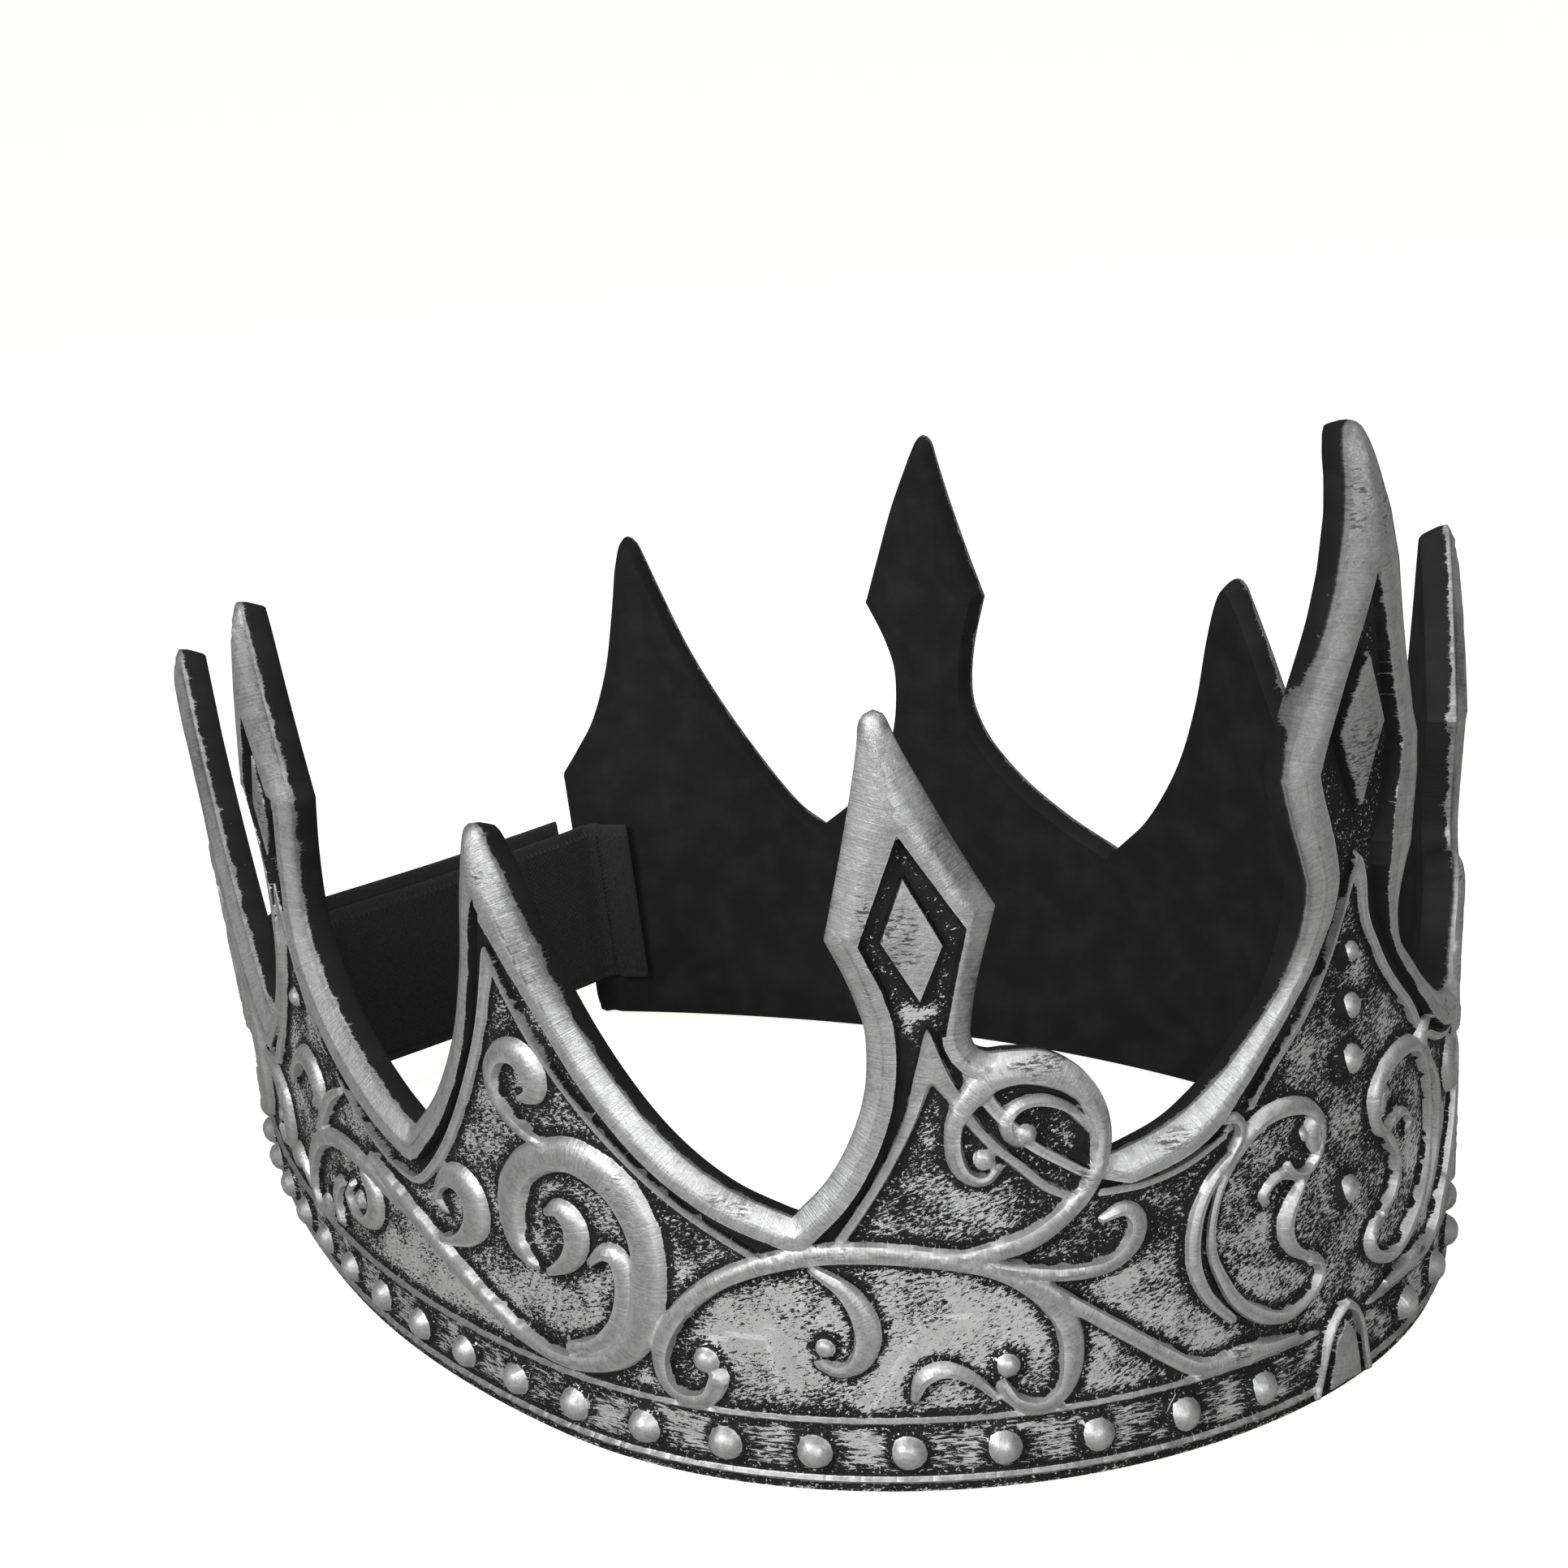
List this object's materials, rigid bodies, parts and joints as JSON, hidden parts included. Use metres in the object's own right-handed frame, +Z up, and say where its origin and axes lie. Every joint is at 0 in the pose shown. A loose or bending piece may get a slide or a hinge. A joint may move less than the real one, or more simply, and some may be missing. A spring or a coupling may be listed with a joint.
{
  "type": "costume crown",
  "caption": "Soft moulded costume crown: open-backed band with tall spires, raised scrollwork and beads, bridged at the back by overlapping hook-and-loop straps.",
  "frame": {"origin": "on the surface the rim stands on, under the middle of the crown's bounding box", "axes": "+Z up, the front spire faces -Y, the open back with its straps faces +Y, the wearer's right is -X"},
  "size_m": [0.1674, 0.2181, 0.1364],
  "materials": {
    "silvered_foam": "black soft foam, silver paint brushed over the raised relief",
    "black_webbing": "woven hook-and-loop tape"
  },
  "bodies": {
    "root": {"crown": "silvered_foam", "hook_strap": "black_webbing", "loop_strap": "black_webbing"}
  },
  "joints": []
}
